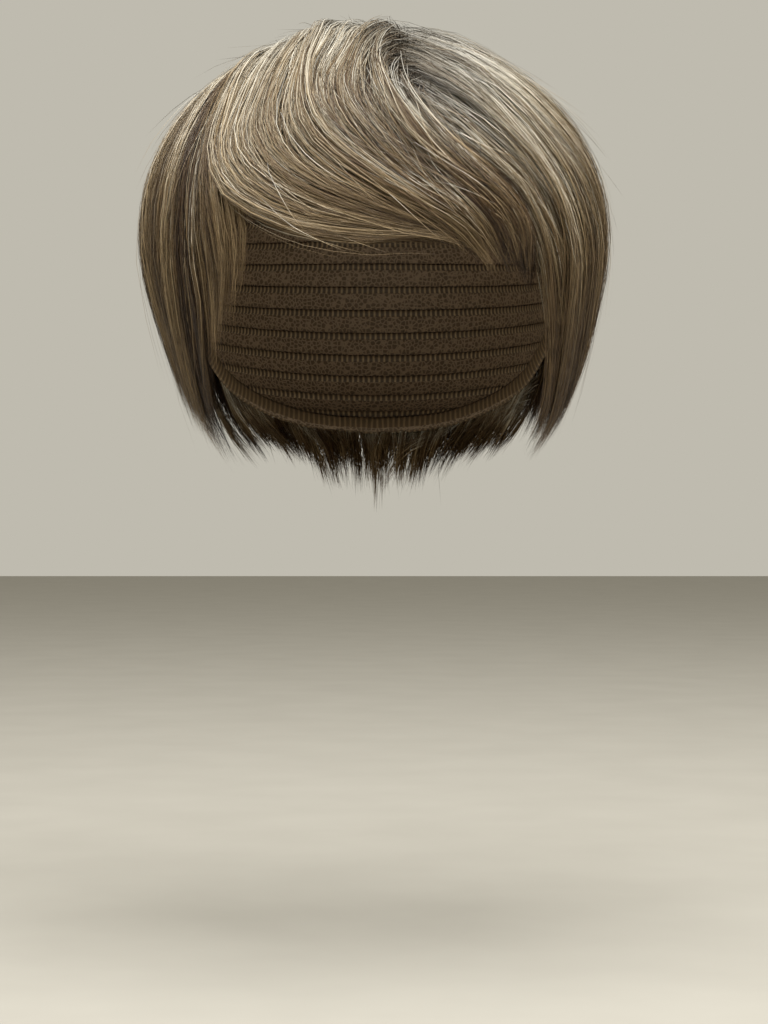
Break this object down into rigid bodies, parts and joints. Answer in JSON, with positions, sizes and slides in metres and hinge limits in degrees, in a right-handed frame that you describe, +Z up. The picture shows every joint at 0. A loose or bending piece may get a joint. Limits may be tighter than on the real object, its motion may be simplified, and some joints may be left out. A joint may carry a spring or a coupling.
{
  "type": "short cap wig with a swept fringe",
  "caption": "Short layered wig: a thin stretch cap shaped to a head, with combed fringe, side, back and nape hair sewn over it in tapered locks. Worn on a head or a stand.",
  "frame": {"origin": "inside of the cap at its crown, where the top of the head meets it", "axes": "+Z up; -Y towards the face side; +X towards the wearer's left"},
  "size_m": [0.1933, 0.2292, 0.1845],
  "materials": {
    "cap_net": "fine stretch net with sewn weft rows, matt",
    "hair_fibre": "fine combed fibre in ash blond and brown strands, satin sheen"
  },
  "bodies": {
    "root": {"cap": "cap_net", "fringe": "hair_fibre", "side_hair_left": "hair_fibre", "side_hair_right": "hair_fibre", "back_hair": "hair_fibre", "nape_hair": "hair_fibre"}
  },
  "joints": []
}
